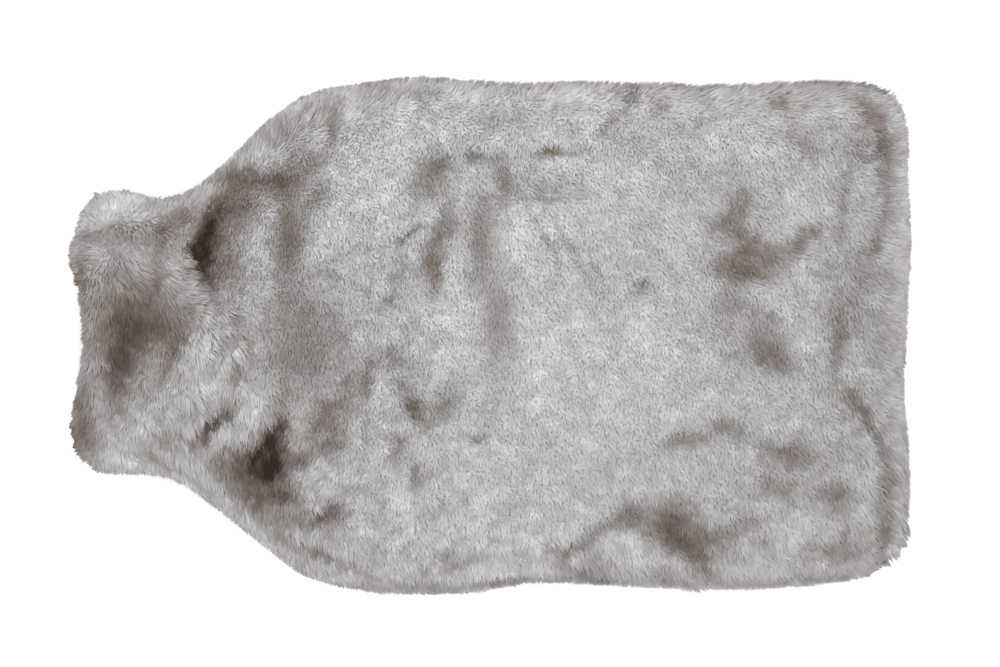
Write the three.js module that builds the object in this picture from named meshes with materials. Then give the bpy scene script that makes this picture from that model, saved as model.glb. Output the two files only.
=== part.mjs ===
// A fitted cover for a two-litre hot water bottle, in long silver-grey faux fur, lying on its back panel.
// The neck and its open mouth are towards -X, the closed end towards +X, and +Z is up. Two panels of one
// outline are sewn together round the shoulders, sides and closed end, fur outwards, and the mouth is left
// open, so that the cover is one hollow bag. Each solid holds the backing and the whole depth of its pile.
// Sizes are in millimetres. The origin is under the middle of the cover, on the surface that it lies on.
import * as THREE from 'three';

// Height of the side seam above the surface, and the parting between the seam faces of the two panels.
const SEAM_HEIGHT = 17;
const PANEL_GAP = 0.3;

// Backing and pile together: through the broad face of a panel, and outwards from the seam at its rim.
const FACE_THICKNESS = 8;
const RIM_THICKNESS = 9;
// The pile is pressed this thin, with its backing, where a hollow meets the backing inside.
const LEAST_THICKNESS = 3.5;

// Roundness of a panel's section: 2 is an ellipse, and more is squarer.
const FRONT_ROUNDNESS = 2.4;
const BACK_ROUNDNESS = 2.4;
// The back panel's section would reach this many times its room, so that what is cut off is its flat.
const BACK_FLATTENING = 1.1;
// The backing inside is level over this share of its width and length, with straight flanks beyond.
const BACKING_LEVEL_SHARE = 0.72;

// Length over which the crown falls to the seam at the closed end.
const END_ROUND_LENGTH = 48;
// The pile rounds off over this length at the mouth, and by this depth.
const HEM_LENGTH = 9;
const HEM_DEPTH = 3;

// Rows of the mesh: round the closed end, along the body, and round the hem; and its columns across.
const END_ROWS = 8;
const BODY_ROWS = 35;
const HEM_ROWS = 3;
const COLUMNS = 30;

// Outline and crown of the lying cover, a row for each section from the mouth to the closed end. top and
// bottom are the y of its two sides, and crown is how far the front panel rises above the seam.
const SECTIONS = [
  { x: -185, top: 58.0, bottom: -57.0, crown: 15.5 }, // mouth
  { x: -173, top: 63.0, bottom: -61.0, crown: 17.5 },
  { x: -160, top: 63.8, bottom: -61.8, crown: 18.5 },
  { x: -145, top: 61.0, bottom: -62.8, crown: 18.0 }, // waist of the neck
  { x: -132, top: 64.5, bottom: -68.0, crown: 19.0 },
  { x: -115, top: 78.0, bottom: -81.0, crown: 22.0 }, // shoulders
  { x: -98, top: 94.6, bottom: -95.0, crown: 25.0 },
  { x: -82, top: 105.5, bottom: -106.0, crown: 27.5 },
  { x: -62, top: 110.5, bottom: -112.0, crown: 29.0 },
  { x: -30, top: 114.4, bottom: -114.4, crown: 29.5 }, // widest part of the body
  { x: -8, top: 112.6, bottom: -113.8, crown: 29.0 },
  { x: 18, top: 112.0, bottom: -109.6, crown: 28.5 },
  { x: 48, top: 112.3, bottom: -110.4, crown: 28.0 },
  { x: 95, top: 111.0, bottom: -112.6, crown: 27.0 },
  { x: 150, top: 112.5, bottom: -109.8, crown: 26.5 },
  { x: 165, top: 112.0, bottom: -107.0, crown: 26.0 },
  { x: 177, top: 108.0, bottom: -101.5, crown: 25.5 }, // corners of the closed end
];

// The mouth's edge and the closed end, as x against the place across the panel: -1 at the bottom side, 1 at
// the top side.
const MOUTH_EDGE = [
  { across: -1.0, x: -174.0 },
  { across: -0.9, x: -181.5 },
  { across: -0.74, x: -184.6 },
  { across: -0.4, x: -182.4 },
  { across: 0.0, x: -179.8 },
  { across: 0.36, x: -182.0 },
  { across: 0.62, x: -185.5 },
  { across: 0.8, x: -182.6 },
  { across: 0.92, x: -179.2 },
  { across: 1.0, x: -173.5 },
];
const CLOSED_END = [
  { across: -1.0, x: 176.0 },
  { across: -0.93, x: 182.0 },
  { across: -0.8, x: 184.4 },
  { across: -0.6, x: 184.8 },
  { across: -0.15, x: 182.4 },
  { across: 0.1, x: 183.6 },
  { across: 0.36, x: 185.4 },
  { across: 0.6, x: 184.2 },
  { across: 0.9, x: 182.6 },
  { across: 1.0, x: 177.0 },
];

// Hollows pressed into the front panel's pile, a row for each: its middle, its length and width, the angle of
// its length from +X in degrees, and its depth.
const HOLLOWS = [
  { x: -122, y: 42, length: 56, width: 22, angle: 66, depth: 4.6 }, // top shoulder's crease
  { x: -97, y: 68, length: 44, width: 16, angle: 6, depth: 3.2 },
  { x: -88, y: 44, length: 44, width: 17, angle: 80, depth: 3.6 },
  { x: -162, y: -4, length: 56, width: 20, angle: 86, depth: 3.2 }, // across the neck
  { x: -146, y: 6, length: 40, width: 18, angle: -65, depth: 2.4 },
  { x: -162, y: 44, length: 40, width: 13, angle: 8, depth: 2.2 },
  { x: -95, y: -54, length: 46, width: 21, angle: 74, depth: 4.8 }, // bottom shoulder's crease
  { x: -107, y: -62, length: 46, width: 16, angle: -48, depth: 3.4 },
  { x: -118, y: -38, length: 28, width: 13, angle: 46, depth: 3.0 },
  { x: -71, y: -36, length: 42, width: 18, angle: 58, depth: 2.6 },
  { x: -76, y: -76, length: 36, width: 13, angle: 8, depth: 2.2 },
  { x: -80, y: -2, length: 44, width: 36, angle: 80, depth: 1.6 },
  { x: -26, y: 67, length: 28, width: 21, angle: 78, depth: 3.0 }, // upper body
  { x: -24, y: 37, length: 38, width: 15, angle: 62, depth: 3.4 },
  { x: 1, y: 20, length: 84, width: 17, angle: -82, depth: 1.9 },
  { x: 5, y: 68, length: 30, width: 14, angle: 88, depth: 1.9 },
  { x: 26, y: 81, length: 32, width: 12, angle: 0, depth: 1.5 },
  { x: 114, y: 32, length: 46, width: 21, angle: -4, depth: 3.6 }, // right of the body
  { x: 105, y: 52, length: 32, width: 17, angle: 58, depth: 2.8 },
  { x: 136, y: 42, length: 26, width: 14, angle: 36, depth: 2.4 },
  { x: 118, y: -7, length: 42, width: 17, angle: -52, depth: 2.8 },
  { x: 93, y: -43, length: 52, width: 13, angle: -2, depth: 2.0 },
  { x: 131, y: -51, length: 22, width: 17, angle: 20, depth: 2.2 },
  { x: 72, y: -82, length: 44, width: 14, angle: -18, depth: 2.8 }, // near the bottom side
  { x: 90, y: -92, length: 34, width: 17, angle: -55, depth: 3.2 },
  { x: 151, y: 6, length: 72, width: 22, angle: 84, depth: 1.6 },
  { x: 162, y: -36, length: 32, width: 13, angle: -64, depth: 1.8 },
];
// A hollow is full depth only where the panel stands this high above the seam.
const HOLLOW_FADE_HEIGHT = 14;

// Low swells of the pile between the hollows: their height, and their lengths along X and Y.
const SWELL_HEIGHT = 0.7;
const SWELL_LENGTHS = { x: 61, y: 47 };

const FUR_COLOUR = 0xb9b7b7;
const FUR_ROUGHNESS = 0.92;

// A smooth curve through the rows of a table: key is the column that it runs along.
function curveThrough(rows, key, columns) {
  const places = rows.map((row) => row[key]);
  const values = rows.flatMap((row) => columns.map((column) => row[column]));
  return new THREE.CubicInterpolant(places, values, columns.length);
}

const sectionCurve = curveThrough(SECTIONS, 'x', ['top', 'bottom', 'crown']);
const mouthCurve = curveThrough(MOUTH_EDGE, 'across', ['x']);
const endCurve = curveThrough(CLOSED_END, 'across', ['x']);

function sectionAt(x) {
  const [top, bottom, crown] = sectionCurve.evaluate(x);
  return { middle: (top + bottom) / 2, half: (top - bottom) / 2, crown };
}

// Height of a rounded section, 1 at its middle and 0 at its rim, where t is 1.
function roundedHeight(t, roundness) {
  return Math.pow(Math.max(0, 1 - Math.pow(Math.abs(t), roundness)), 1 / roundness);
}

// Where the mesh's rows lie along the cover, 0 at the mouth and 1 at the closed end, closest where it rounds.
function rowPlaces() {
  const length = CLOSED_END.at(-1).x - MOUTH_EDGE.at(-1).x;
  const hem = HEM_LENGTH / length;
  const end = END_ROUND_LENGTH / length;
  const places = [];
  for (let row = 0; row < HEM_ROWS; row += 1) {
    places.push(hem * (1 - Math.cos((row / HEM_ROWS) * (Math.PI / 2))));
  }
  for (let row = 0; row < BODY_ROWS; row += 1) {
    places.push(THREE.MathUtils.lerp(hem, 1 - end, row / BODY_ROWS));
  }
  for (let row = 0; row <= END_ROWS; row += 1) {
    places.push(1 - end * (1 - Math.sin((row / END_ROWS) * (Math.PI / 2))));
  }
  return places;
}

// Where the mesh's columns lie across it, -1 to 1, closest at the rims.
function columnPlaces() {
  return Array.from({ length: COLUMNS + 1 }, (_, column) =>
    Math.sin(((2 * column) / COLUMNS - 1) * (Math.PI / 2)));
}

// Depth of the pile's hollows at a point of the front panel.
function hollowDepth(x, y) {
  return HOLLOWS.reduce((sum, hollow) => {
    const angle = THREE.MathUtils.degToRad(hollow.angle);
    const along = (x - hollow.x) * Math.cos(angle) + (y - hollow.y) * Math.sin(angle);
    const aside = (y - hollow.y) * Math.cos(angle) - (x - hollow.x) * Math.sin(angle);
    const distance = Math.hypot((2 * along) / hollow.length, (2 * aside) / hollow.width);
    return sum + hollow.depth * Math.exp(-distance * distance);
  }, 0);
}

// Height of the pile's swells at a point of the front panel.
function swell(x, y) {
  const { x: lengthX, y: lengthY } = SWELL_LENGTHS;
  const wave = Math.sin((2 * Math.PI * (x + y / 2)) / lengthX) * Math.sin((2 * Math.PI * y) / lengthY);
  return SWELL_HEIGHT * wave;
}

// A point of a skin that lies inset from the panel's outline, at place (along, across). rise gives its
// distance from the seam plane, from the section there and from the shares left by the rim and the end.
function skinPoint(along, across, inset, rise) {
  const mouthX = mouthCurve.evaluate(across)[0];
  const endX = endCurve.evaluate(across)[0] - inset;
  const x = THREE.MathUtils.lerp(mouthX, endX, along);
  const { middle, half, crown } = sectionAt(x);
  const y = middle + across * (half - inset);
  const fromEnd = Math.min(1, ((1 - along) * (endX - mouthX)) / END_ROUND_LENGTH);
  const fromMouth = Math.min(1, (along * (endX - mouthX)) / HEM_LENGTH);
  return { x, y, rise: rise({ x, y, across, crown, end: 1 - fromEnd, mouth: 1 - fromMouth }) };
}

// Distance of the front panel's fur from the seam plane, and that of its backing inside.
function frontFur({ x, y, across, crown, end, mouth }) {
  const shape = roundedHeight(across, FRONT_ROUNDNESS) * roundedHeight(end, FRONT_ROUNDNESS);
  const hem = HEM_DEPTH * (1 - roundedHeight(mouth, 2)) * roundedHeight(across, FRONT_ROUNDNESS);
  const height = crown * shape - hem;
  const fade = Math.min(1, height / HOLLOW_FADE_HEIGHT);
  return height + fade * (swell(x, y) - hollowDepth(x, y));
}

// Share of its full height that the backing has, where flanks fall to the rim and to the closed end.
function backingShape(across, end) {
  const nearest = Math.max(Math.abs(across), end);
  return Math.min(1, (1 - nearest) / (1 - BACKING_LEVEL_SHARE));
}

function frontBacking(place) {
  const level = (place.crown - FACE_THICKNESS) * backingShape(place.across, place.end);
  return Math.max(0, Math.min(level, frontFur({ ...place, mouth: 0 }) - LEAST_THICKNESS));
}

// The back panel's fur is flat where it lies on the surface, and rounds up to the seam.
function backFur({ across, end, mouth }) {
  const shape = roundedHeight(across, BACK_ROUNDNESS) * roundedHeight(end, BACK_ROUNDNESS);
  const hem = HEM_DEPTH * (1 - roundedHeight(mouth, 2)) * roundedHeight(across, BACK_ROUNDNESS);
  return (SEAM_HEIGHT - PANEL_GAP / 2) * Math.min(1, BACK_FLATTENING * shape) - hem;
}

function backBacking({ across, end }) {
  return (SEAM_HEIGHT - PANEL_GAP / 2 - FACE_THICKNESS) * backingShape(across, end);
}

// One panel's closed solid: its fur side, its backing, and the rim and hem that join them. up is 1 for the
// panel above the seam and -1 for the one below it.
function panelGeometry(furRise, backingRise, up) {
  const rows = rowPlaces();
  const columns = columnPlaces();
  const positions = [];
  const skins = [
    { inset: 0, rise: furRise },
    { inset: RIM_THICKNESS, rise: backingRise },
  ];
  for (const { inset, rise } of skins) {
    for (const along of rows) {
      for (const across of columns) {
        const point = skinPoint(along, across, inset, rise);
        positions.push(point.x, point.y, SEAM_HEIGHT + up * (PANEL_GAP / 2 + point.rise));
      }
    }
  }

  const pointsAcross = columns.length;
  const skinSize = rows.length * pointsAcross;
  const indices = [];
  const addQuad = (a, b, c, d) => {
    const triangles = up > 0 ? [a, b, c, a, c, d] : [a, c, b, a, d, c];
    indices.push(...triangles);
  };
  const at = (row, column) => row * pointsAcross + column;
  for (let row = 0; row < rows.length - 1; row += 1) {
    for (let column = 0; column < pointsAcross - 1; column += 1) {
      const corners = [at(row, column), at(row + 1, column), at(row + 1, column + 1), at(row, column + 1)];
      addQuad(...corners);
      addQuad(...corners.reverse().map((corner) => corner + skinSize));
    }
  }

  const border = [];
  for (let row = 0; row < rows.length - 1; row += 1) border.push(at(row, 0));
  for (let column = 0; column < pointsAcross - 1; column += 1) border.push(at(rows.length - 1, column));
  for (let row = rows.length - 1; row > 0; row -= 1) border.push(at(row, pointsAcross - 1));
  for (let column = pointsAcross - 1; column > 0; column -= 1) border.push(at(0, column));
  border.forEach((from, place) => {
    const to = border[(place + 1) % border.length];
    addQuad(to, from, from + skinSize, to + skinSize);
  });

  const geometry = new THREE.BufferGeometry();
  geometry.setAttribute('position', new THREE.Float32BufferAttribute(positions, 3));
  geometry.setIndex(indices);
  geometry.computeVertexNormals();
  return geometry;
}

function furMaterial() {
  return new THREE.MeshStandardMaterial({ color: FUR_COLOUR, roughness: FUR_ROUGHNESS, metalness: 0 });
}

function frontPanel() {
  const mesh = new THREE.Mesh(panelGeometry(frontFur, frontBacking, 1), furMaterial());
  mesh.name = 'front_panel';
  return mesh;
}

function backPanel() {
  const mesh = new THREE.Mesh(panelGeometry(backFur, backBacking, -1), furMaterial());
  mesh.name = 'back_panel';
  return mesh;
}

const cover = new THREE.Group();
cover.add(frontPanel(), backPanel());

export default cover;
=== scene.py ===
"""A fur cover for a two-litre hot water bottle: its cloth, its pile and the stage that it lies on.

The cover lies on its back panel, with the open neck towards -X and the closed end towards +X. The pile is
built as small locks of fibre. Each is rooted in its panel's cloth, rises through the pile and leans over at
its tip, as the hand has stroked it there. Tables are in millimetres; everything else is in metres.
"""

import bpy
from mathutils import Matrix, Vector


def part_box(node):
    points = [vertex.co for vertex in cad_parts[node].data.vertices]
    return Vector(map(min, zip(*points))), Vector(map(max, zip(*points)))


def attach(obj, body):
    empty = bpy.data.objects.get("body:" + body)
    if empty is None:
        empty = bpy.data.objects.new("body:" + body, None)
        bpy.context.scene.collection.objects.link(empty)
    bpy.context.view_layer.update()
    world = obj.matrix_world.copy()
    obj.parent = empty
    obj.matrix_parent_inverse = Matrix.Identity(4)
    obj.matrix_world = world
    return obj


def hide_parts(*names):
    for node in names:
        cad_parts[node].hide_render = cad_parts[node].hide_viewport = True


bl_info = {
    "name": "Fur bottle cover",
    "version": (1, 0, 0),
    "blender": (4, 5, 0),
    "location": "3D View > Sidebar > Fur Cover",
    "description": "Builds the cloth, the pile and the stage of a fur cover for a hot water bottle",
    "category": "Add Mesh",
}

import itertools
import math
from collections import namedtuple

import bpy
import numpy as np
from bpy.props import FloatProperty, FloatVectorProperty, IntProperty, PointerProperty

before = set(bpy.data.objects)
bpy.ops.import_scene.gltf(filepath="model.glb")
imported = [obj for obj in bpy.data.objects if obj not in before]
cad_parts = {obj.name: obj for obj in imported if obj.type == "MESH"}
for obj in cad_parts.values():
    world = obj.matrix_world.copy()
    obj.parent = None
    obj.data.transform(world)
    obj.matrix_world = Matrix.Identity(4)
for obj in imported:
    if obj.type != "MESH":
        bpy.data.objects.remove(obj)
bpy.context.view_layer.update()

MM = 0.001

# The seam lies between these two heights, where the back panel ends and the front one begins.
SEAM_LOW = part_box("back_panel")[1].z
SEAM_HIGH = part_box("front_panel")[0].z

# The form of the pile's tips, as the panels' solids have it.
ROUNDNESS = 2.4
BACK_FLATTENING = 1.1
END_ROUND_LENGTH = 48 * MM
HEM_LENGTH = 9 * MM
HEM_DEPTH = 3 * MM
HOLLOW_FADE_HEIGHT = 14 * MM
SWELL_HEIGHT = 0.7 * MM
SWELL_LENGTH_X = 61 * MM
SWELL_LENGTH_Y = 47 * MM
# The pile at the crown of the front panel's mouth lies back from the edge by this much.
MOUTH_SETBACK = 1.5 * MM
# The cloth under a hollow dips by this share of the hollow's depth.
CLOTH_DIP = 0.5

# x, top y, bottom y, crown: the outline and the crown over the seam, from the mouth to the closed end.
SECTIONS = MM * np.array([
    (-185, 58.0, -57.0, 15.5),
    (-173, 63.0, -61.0, 17.5),
    (-160, 63.8, -61.8, 18.5),
    (-145, 61.0, -62.8, 18.0),
    (-132, 64.5, -68.0, 19.0),
    (-115, 78.0, -81.0, 22.0),
    (-98, 94.6, -95.0, 25.0),
    (-82, 105.5, -106.0, 27.5),
    (-62, 110.5, -112.0, 29.0),
    (-30, 114.4, -114.4, 29.5),
    (-8, 112.6, -113.8, 29.0),
    (18, 112.0, -109.6, 28.5),
    (48, 112.3, -110.4, 28.0),
    (95, 111.0, -112.6, 27.0),
    (150, 112.5, -109.8, 26.5),
    (165, 112.0, -107.0, 26.0),
    (177, 108.0, -101.5, 25.5),
])

# Place across the panel, x: the edge of the mouth and that of the closed end.
MOUTH_EDGE = np.array([
    (-1.0, -174.0),
    (-0.9, -181.5),
    (-0.74, -184.6),
    (-0.4, -182.4),
    (0.0, -179.8),
    (0.36, -182.0),
    (0.62, -185.5),
    (0.8, -182.6),
    (0.92, -179.2),
    (1.0, -173.5),
]) * (1, MM)
CLOSED_END = np.array([
    (-1.0, 176.0),
    (-0.93, 182.0),
    (-0.8, 184.4),
    (-0.6, 184.8),
    (-0.15, 182.4),
    (0.1, 183.6),
    (0.36, 185.4),
    (0.6, 184.2),
    (0.9, 182.6),
    (1.0, 177.0),
]) * (1, MM)

# x, y, length, width, angle of the length in degrees, depth: hollows pressed into the front panel.
HOLLOWS = np.array([
    (-122, 42, 56, 22, 66, 4.6),
    (-97, 68, 44, 16, 6, 3.2),
    (-88, 44, 44, 17, 80, 3.6),
    (-162, -4, 56, 20, 86, 3.2),
    (-146, 6, 40, 18, -65, 2.4),
    (-162, 44, 40, 13, 8, 2.2),
    (-95, -54, 46, 21, 74, 4.8),
    (-107, -62, 46, 16, -48, 3.4),
    (-118, -38, 28, 13, 46, 3.0),
    (-71, -36, 42, 18, 58, 2.6),
    (-76, -76, 36, 13, 8, 2.2),
    (-80, -2, 44, 36, 80, 1.6),
    (-26, 67, 28, 21, 78, 3.0),
    (-24, 37, 38, 15, 62, 3.4),
    (1, 20, 84, 17, -82, 1.9),
    (5, 68, 30, 14, 88, 1.9),
    (26, 81, 32, 12, 0, 1.5),
    (114, 32, 46, 21, -4, 3.6),
    (105, 52, 32, 17, 58, 2.8),
    (136, 42, 26, 14, 36, 2.4),
    (118, -7, 42, 17, -52, 2.8),
    (93, -43, 52, 13, -2, 2.0),
    (131, -51, 22, 17, 20, 2.2),
    (72, -82, 44, 14, -18, 2.8),
    (90, -92, 34, 17, -55, 3.2),
    (151, 6, 72, 22, 84, 1.6),
    (162, -36, 32, 13, -64, 1.8),
]) * (MM, MM, MM, MM, 1, MM)

# x, y, reach, direction that the tips lean in degrees, lean at the tip: how the pile is stroked there.
STROKES = np.array([
    (-167, 60, 10, 97, 6.5),  # upper lobe of the neck
    (-178, 52, 8, 125, 5.0),
    (-155, 60, 9, 62, 6.5),
    (-146, 53, 9, 22, 6.0),
    (-128, 61, 10, 74, 6.0),
    (-184, 37, 8, 178, 5.5),  # edge of the mouth
    (-183, 0, 8, -95, 5.0),
    (-181, -30, 9, -105, 5.5),
    (-182, -48, 8, -125, 4.5),
    (-171, 37, 7, 148, 4.5),  # star in the neck
    (-155, 27, 9, -30, 7.5),
    (-149, 37, 8, -38, 7.0),
    (-164, 15, 9, -92, 8.0),
    (-139, 41, 8, -52, 6.0),
    (-134, 26, 8, 30, 8.0),  # whorl beside the shoulder
    (-130, 13, 8, -22, 8.0),
    (-145, 9, 8, -88, 8.0),
    (-162, -4, 18, -90, 10.0),  # combed middle of the neck
    (-160, -26, 12, -88, 10.0),
    (-122, -6, 13, -52, 8.5),
    (-112, 2, 12, -46, 7.5),
    (-105, -26, 12, -60, 7.5),
    (-130, -30, 14, -73, 9.0),
    (-160, -44, 15, -84, 9.0),
    (-140, -56, 12, -80, 8.5),
    (-122, 38, 12, -112, 6.0),  # top shoulder
    (-104, 54, 12, -75, 5.0),
    (-112, 76, 13, 92, 6.0),
    (-92, 94, 13, 82, 6.0),
    (-70, 104, 13, 60, 5.5),
    (-84, 82, 9, -32, 5.0),
    (-88, 44, 9, -100, 4.0),
    (-108, -38, 10, -78, 7.0),  # bottom shoulder
    (-95, -50, 9, -100, 6.5),
    (-74, -54, 11, -135, 5.0),
    (-112, -66, 14, -76, 7.5),
    (-88, -86, 14, -74, 7.0),
    (-68, -98, 14, -66, 6.0),
    (-28, -104, 14, -66, 5.5),  # along the bottom side
    (20, -104, 14, -66, 5.0),
    (70, -104, 14, -64, 5.5),
    (120, -103, 14, -58, 5.5),
    (160, -100, 12, -52, 5.5),
    (-24, 62, 9, -85, 3.5),  # pressed patches of the body
    (-24, 36, 9, -110, 4.0),
    (0, 22, 12, -90, 4.0),
    (116, 32, 10, -35, 4.0),
    (134, 42, 7, 25, 4.0),
    (116, -8, 9, -40, 4.0),
    (84, -86, 11, -88, 5.0),
    (184, 70, 8, 8, 5.5),  # along the closed end
    (185, 40, 8, -5, 5.5),
    (185, 5, 9, -5, 5.5),
    (184, -30, 9, -12, 5.5),
    (184, -66, 9, -16, 5.5),
    (179, 102, 10, 30, 5.0),
    (140, 109, 8, 22, 4.5),  # along the top side
    (105, 109, 8, 0, 4.0),
    (78, 106, 7, -38, 6.5),
    (62, 106, 7, -128, 5.0),
    (30, 109, 9, 12, 4.0),
    (-10, 109, 10, 20, 4.0),
    (-45, 109, 12, 30, 4.5),
]) * (MM, MM, MM, 1, MM)

# x, y, reach, extra length as a share of the pile's depth, extra gather: ragged or fuller places of the rim.
RIMS = np.array([
    (180, 107, 12, 0.24, 0.05),  # closed end
    (185, 83, 5, 0.12, 0.60),
    (184, 62, 12, 0.02, 0.50),
    (185, 32, 12, 0.06, 0.50),
    (185, 4, 13, 0.18, 0.50),
    (184, -30, 12, -0.06, 0.40),
    (185, -62, 12, 0.06, 0.10),
    (185, -88, 8, 0.20, 0.60),
    (180, -101, 10, 0.26, 0.60),
    (158, -109, 14, 0.06, 0.50),  # bottom side
    (118, -112, 18, 0.05, 0.35),
    (88, -114, 4, 0.25, 0.50),
    (60, -112, 16, 0.05, 0.35),
    (10, -110, 16, 0.02, 0.30),
    (-40, -115, 18, 0.06, 0.30),
    (-84, -107, 12, 0.06, 0.55),
    (-129, -69, 8, 0.14, 0.70),
    (-183, 36, 9, 0.0, 0.75),  # mouth and neck
    (-181, -55, 7, 0.22, 0.50),
    (-166, 64, 8, 0.10, 0.30),
    (-120, 78, 6, 0.08, 0.50),
    (127, 113, 5, 0.12, 0.40),  # top side
    (74, 112, 6, 0.10, 0.35),
]) * (MM, MM, MM, 1, 1)

# x, y, length, width, angle of the length in degrees, amount: where the pile is ruffled, or pressed smooth.
RUFFLES = np.array([
    (-150, 0, 120, 130, 0, 0.9),
    (-60, 0, 110, 250, 0, 0.8),
    (60, 100, 260, 36, 0, 0.7),
    (40, -88, 280, 50, 0, 0.6),
    (150, 10, 100, 230, 0, 0.6),
    (-82, -1, 44, 36, 90, -1.9),
    (-163, -6, 54, 34, 88, -1.6),
    (-150, 6, 36, 18, 0, -1.2),
    (-88, 43, 37, 16, 84, -1.4),
    (-112, 52, 34, 22, 66, -1.2),
    (-2, 38, 40, 14, -86, -1.3),
    (4, 4, 34, 14, 88, -1.2),
    (152, -4, 40, 12, 88, -0.9),
    (-178, -36, 34, 10, 86, -0.8),
]) * (MM, MM, MM, MM, 1, 1)

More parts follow.
